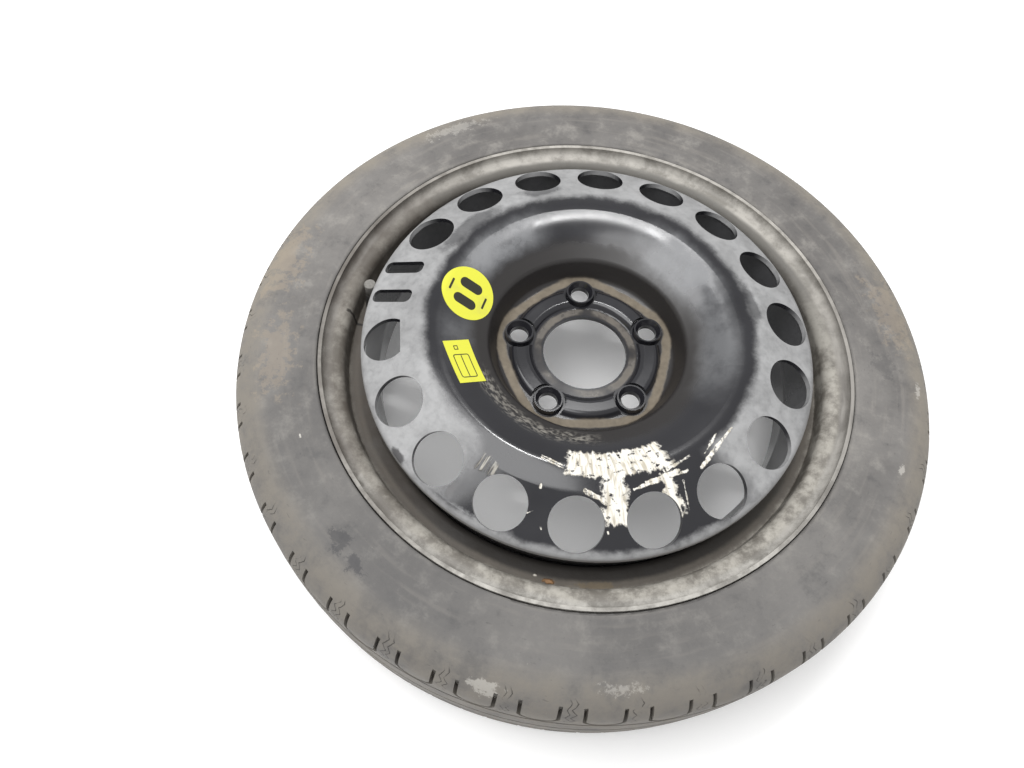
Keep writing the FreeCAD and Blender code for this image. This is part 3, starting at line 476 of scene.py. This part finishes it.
def disc_material():
    """Glossy black paint, dusty on the ring of holes, tan round the hub, scraped at the front."""
    s = Shader("black_disc")
    cloud = s.noise(14.0, 5.0, 0.6)
    patchy = s.noise(30.0, 6.0, 0.65)
    fine = s.noise(160.0, 5.0, 0.6)
    ragged = s.noise(90.0, 5.0, 0.7)
    upward = s.span(s.up, 0.15, 0.45)
    edge = s.shaken(s.r, s.noise(50.0, 5.0, 0.65), 12.0)
    swing = s.shaken(s.a, s.noise(24.0), 18.0)
    colour = s.blend(cloud, *PAINT_SHADES)
    rough = s.span(cloud, 0.35, 0.65, 0.12, 0.2)

    grime = s.times(s.band(edge, 70.0, 96.0, 6.0), 0.7)
    colour = s.blend(grime, colour, GRIME_COLOUR)
    rough = s.either(rough, s.times(grime, 0.6))

    hazes = []
    for low, high, inner, outer, strength in HAZES:
        patch = s.times(s.band(swing, low, high, 12.0), s.band(edge, inner, outer, 7.0))
        hazes.append(s.times(patch, strength))
    haze = s.times(s.either(*hazes), s.span(patchy, 0.3, 0.6, 0.45, 1.0))
    colour = s.blend(s.times(haze, 0.85), colour, HAZE_COLOUR)
    rough = s.either(rough, s.times(haze, 0.45))

    ring = s.times(s.span(edge, *DISC_RING), s.flipped(s.band(swing, *WIPED_FRONT, 5.0)))
    wiped = s.either(*[s.smudge(*place, patchy, 2.0) for place in WIPED])
    ring = s.times(ring, s.flipped(s.times(wiped, 0.6)))
    ring = s.times(ring, s.span(patchy, 0.3, 0.62, 0.78, 1.0))
    border = s.times(s.span(edge, *DISC_BORDER), 0.9)
    dust = s.times(s.either(ring, border), upward)
    dust = s.times(dust, s.span(fine, 0.25, 0.6, 0.78, 1.0))
    colour = s.blend(dust, colour, s.blend(patchy, *DUST_SHADES))
    rough = s.either(rough, s.times(dust, 0.7))
    for place in RUBBED:
        colour = s.blend(s.times(s.smudge(*place, ragged), 0.85), colour, RUBBED_COLOUR)
    colour = s.blend(s.times(s.band(s.r, 184.2, 185.4, 0.4), 0.45), colour, WORN_EDGE)

    tan = hub_dirt(s)
    colour = s.blend(tan, colour, s.blend(fine, *TAN_SHADES))
    rough = s.either(rough, s.times(tan, 0.8))

    smear = s.band(s.shaken(s.r, cloud, 14.0), 88.0, 98.0, 4.0)
    smear = s.times(smear, s.band(swing, -142.0, -72.0, 7.0))
    smear = s.times(smear, s.span(s.ring_noise(2.0, 2.6, 4.0), 0.42, 0.66))
    colour = s.blend(s.times(smear, 0.6), colour, SMEAR_COLOUR)
    rough = s.either(rough, s.times(smear, 0.7))

    scraped = s.times(scrapes(s), upward)
    paper = s.blend(s.span(s.ring_noise(14.0, 1.1, 6.0), 0.32, 0.56), *PAPER_SHADES)
    colour = s.blend(scraped, colour, paper)
    rough = s.either(rough, s.times(scraped, 0.85))

    crest = s.bump(s.span(s.r, *DISC_CREST, 1.0, 0.0), CREST_SOFTNESS)
    grain = s.either(s.times(dust, fine), scraped)
    return s.finish(colour, rough, s.bump(grain, DISC_GRAIN, crest))


def hub_dirt(s):
    """Tan dirt on the hub flat, inside a five-lobed edge, and on the ring round the bore."""
    from_bolt = s.calc("WRAP", s.add(s.a, -FIRST_BOLT), BOLT_STEP / 2, -BOLT_STEP / 2)
    turn = s.times(from_bolt, math.radians(1.0))
    along = s.add(s.times(s.r, s.calc("COSINE", turn)), -BOLT_CIRCLE)
    across = s.times(s.r, s.calc("SINE", turn))
    bolt_distance = s.length(along, across)
    ragged = s.noise(130.0)
    lobes = s.times(s.wave(s.add(s.a, -FIRST_BOLT), BOLT_COUNT), 2.6)
    lobed = s.calc("SUBTRACT", s.r, lobes)
    flat = s.band(s.shaken(lobed, ragged, 3.0), 65.5, 73.0, 1.2)
    flat = s.times(flat, s.span(s.shaken(bolt_distance, ragged, 2.0), 13.2, 15.0))
    bore = s.band(s.shaken(s.r, ragged, 3.0), 37.0, 43.0, 1.0)
    bore = s.times(bore, s.span(s.noise(30.0), 0.42, 0.62, 0.05, 0.5))
    return s.times(s.either(flat, bore), s.span(s.up, 0.3, 0.7))


def scrapes(s):
    """Pale torn patches and scratches on the bulge and between the holes at the front."""
    torn = s.noise(120.0, 4.0, 0.65)
    streak = s.ring_noise(22.0, 1.5, 5.0)
    r = s.shaken(s.shaken(s.r, torn, 9.0), streak, 10.0)
    a = s.shaken(s.a, s.noise(150.0, 4.0, 0.65), 7.0)
    patch = s.times(s.band(r, 107.0, 130.0, 1.2), s.band(a, -85.0, -49.5, 0.8))
    strip = s.times(s.band(r, 126.0, 163.0, 1.0), s.band(a, -73.2, -66.5, 0.6))
    side_strip = s.band(s.shaken(a, streak, 2.0), -55.0, -51.8, 0.5)
    side_strip = s.times(s.band(r, 134.0, 166.0, 1.0), side_strip)
    whole = s.span(s.noise(210.0, 3.0), 0.32, 0.42)
    whole = s.times(whole, s.span(streak, 0.28, 0.40, 0.75, 1.0))
    paper = s.times(s.either(patch, strip, side_strip), whole)
    lines = [s.stroke((radius, angle), (end_radius, end_angle), half_width, torn, 5.0)
             for radius, angle, end_radius, end_angle, half_width in SCRATCHES]
    strands = s.times(s.either(*lines), s.span(s.noise(260.0, 4.0, 0.7), 0.36, 0.5))
    left = s.band(s.shaken(s.r, torn, 9.0), 141.0, 151.0, 1.5)
    left = s.times(left, s.band(s.shaken(s.a, torn, 3.0), -111.0, -105.0, 0.8))
    left = s.times(s.times(left, s.span(s.ring_noise(30.0, 0.5, 3.0), 0.42, 0.6)), 0.6)
    return s.either(paper, strands, left)


def cap_material():
    """Dark plastic cap with a pale dusty top."""
    s = Shader("dusty_cap")
    grain = s.noise(500.0, 4.0)
    top = s.span(s.shaken(s.level, grain, 9.0), 11.0, 19.0)
    colour = s.blend(top, s.blend(grain, *CAP_SIDE_SHADES), s.blend(grain, *CAP_TOP_SHADES))
    return s.finish(colour, 0.75, s.bump(grain, FINE_GRAIN))


def plain_material(name, colour, roughness, metallic=0.0):
    """One colour with a fine grain."""
    s = Shader(name)
    grain = s.noise(400.0, 3.0)
    shade = tuple(channel * 0.7 for channel in colour)
    return s.finish(s.blend(grain, shade, colour), roughness, s.bump(grain, FINE_GRAIN), metallic)


def sticker_axes(s, angle, turn):
    """Millimetres up the flank and round it from the middle of a sticker."""
    way = math.radians(angle)
    slope = math.radians(FLANK_SLOPE)
    spin = math.radians(turn)
    radial = Vector((math.cos(way), math.sin(way), 0.0))
    outward = radial * math.cos(slope) + Vector((0.0, 0.0, math.sin(slope)))
    sideways = Vector((-math.sin(way), math.cos(way), 0.0))
    uphill = outward * math.cos(spin) + sideways * math.sin(spin)
    across = sideways * math.cos(spin) - outward * math.sin(spin)
    low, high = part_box("round_sticker" if angle == STICKER_ANGLE else "plain_label")
    level = (low[2] + high[2]) / 2
    middle = radial * STICKER_RADIUS / MILLIMETRES + Vector((0.0, 0.0, level))
    measured = []
    for axis in (uphill, across):
        node = s.tree.nodes.new("ShaderNodeVectorMath")
        node.operation = "DOT_PRODUCT"
        s.tree.links.new(s.place, node.inputs[0])
        node.inputs[1].default_value = axis
        measured.append(s.times(s.add(node.outputs["Value"], -axis.dot(middle)), MILLIMETRES))
    return measured


def bar(s, u, v, middle, half_size, round_by):
    """One inside a rounded bar."""
    beyond = []
    for value, centre, half in zip((u, v), middle, half_size):
        away = s.calc("ABSOLUTE", s.add(value, -centre))
        beyond.append(s.calc("MAXIMUM", s.add(away, round_by - half), 0.0))
    return s.span(s.length(*beyond), round_by - PRINT_EDGE, round_by + PRINT_EDGE, 1.0, 0.0)


def outline(s, u, v, outer, inner):
    """One inside the outer bar and outside the inner one."""
    return s.times(bar(s, u, v, *outer), s.flipped(bar(s, u, v, *inner)))


def film_finish(s, ink):
    """Yellow film with dark ink and a little dirt."""
    dirt = s.times(s.span(s.noise(60.0, 5.0), 0.52, 0.75), 0.35)
    colour = s.blend(dirt, FILM_COLOUR, FILM_DIRT)
    return s.finish(s.blend(ink, colour, INK_COLOUR), s.span(dirt, 0.0, 0.3, 0.3, 0.5))


def round_sticker_material():
    """Two large bars and two small ones stand where the print is."""
    s = Shader("round_film")
    u, v = sticker_axes(s, STICKER_ANGLE, 0.0)
    return film_finish(s, s.either(*[bar(s, u, v, *place) for place in ROUND_PRINT]))


def label_material():
    """A plain frame with a fold line, and a small square beside it."""
    s = Shader("label_film")
    u, v = sticker_axes(s, LABEL_ANGLE, LABEL_TURN)
    frame_line = outline(s, u, v, LABEL_FRAME, LABEL_FRAME_INSIDE)
    fold = bar(s, u, v, *LABEL_FOLD)
    square = outline(s, u, v, LABEL_SQUARE, LABEL_SQUARE_INSIDE)
    return film_finish(s, s.either(frame_line, fold, square))


def dress():
    """Give every CAD node its material."""
    brass = plain_material("stem_brass", (0.55, 0.40, 0.16), 0.35, 1.0)
    rubber = plain_material("valve_rubber", (0.035, 0.033, 0.03), 0.75)
    finishes = {
        "tyre": tyre_material(),
        "rim": rim_material(),
        "wheel_disc": disc_material(),
        "disc_welds": plain_material("weld_bead", (0.05, 0.048, 0.045), 0.5, 0.6),
        "valve_body": rubber,
        "valve_stem": brass,
        "valve_core": brass,
        "core_pin": brass,
        "core_gasket": plain_material("core_ring", (0.6, 0.08, 0.05), 0.5),
        "core_seal": rubber,
        "core_spring": plain_material("spring_wire", (0.5, 0.5, 0.5), 0.3, 1.0),
        "valve_cap": cap_material(),
        "round_sticker": round_sticker_material(),
        "plain_label": label_material(),
    }
    for name, material in finishes.items():
        nodes[name].data.materials.clear()
        nodes[name].data.materials.append(material)


def make_floor():
    bpy.ops.mesh.primitive_plane_add(size=FLOOR_SIZE, location=(0, 0, FLOOR_LEVEL))
    floor = bpy.context.object
    floor.name = "floor"
    s = Shader("pale_floor")
    floor.data.materials.append(s.finish(s.blend(s.noise(6.0, 3.0), *FLOOR_SHADES), 0.6))
    s.surface.inputs["Emission Color"].default_value = (1, 1, 1, 1)
    s.surface.inputs["Emission Strength"].default_value = FLOOR_GLOW


def make_camera():
    """Stand the camera where the photograph was taken, aimed and rolled as it was."""
    elevation = math.radians(CAMERA_ELEVATION)
    azimuth = Matrix.Rotation(math.radians(CAMERA_AZIMUTH), 3, "Z")
    stand = Vector((0, -math.cos(elevation), math.sin(elevation))) * CAMERA_DISTANCE
    ahead = -stand.normalized()
    right = Vector((1, 0, 0))
    up = right.cross(ahead)
    yaw = Matrix.Rotation(math.radians(CAMERA_YAW), 3, up)
    ahead, right = yaw @ ahead, yaw @ right
    ahead = Matrix.Rotation(math.radians(CAMERA_PITCH), 3, right) @ ahead
    up = right.cross(ahead)
    roll = Matrix.Rotation(math.radians(CAMERA_ROLL), 3, ahead)
    right, up = roll @ right, roll @ up
    turn = azimuth @ Matrix((right, up, -ahead)).transposed()
    lens = bpy.data.cameras.new("photo_camera")
    lens.sensor_width = SENSOR_WIDTH
    lens.lens = FOCAL_PIXELS * SENSOR_WIDTH / PHOTO_WIDTH
    lens.clip_start = NEAR_CLIP
    camera = bpy.data.objects.new("photo_camera", lens)
    place = azimuth @ stand + Vector((0, 0, FLANGE_PLANE))
    camera.matrix_world = Matrix.Translation(place) @ turn.to_4x4()
    bpy.context.scene.collection.objects.link(camera)
    bpy.context.scene.camera = camera


def make_light(name, place, size, power):
    """A soft box aimed at the wheel."""
    lamp = bpy.data.lights.new(name, "AREA")
    lamp.shape = "RECTANGLE"
    lamp.size, lamp.size_y = size
    lamp.energy = power
    light = bpy.data.objects.new(name, lamp)
    light.location = place
    light.rotation_euler = (-Vector(place)).to_track_quat("-Z", "Y").to_euler()
    bpy.context.scene.collection.objects.link(light)


def make_light_room():
    """An even white room with the two soft boxes in it."""
    world = bpy.data.worlds.new("soft_room")
    world.use_nodes = True
    background = world.node_tree.nodes["Background"]
    background.inputs["Color"].default_value = (1, 1, 1, 1)
    background.inputs["Strength"].default_value = ROOM_STRENGTH
    bpy.context.scene.world = world
    bpy.context.scene.view_settings.view_transform = "Standard"
    for light in LIGHTS:
        make_light(*light)


dress()
make_floor()
make_camera()
make_light_room()
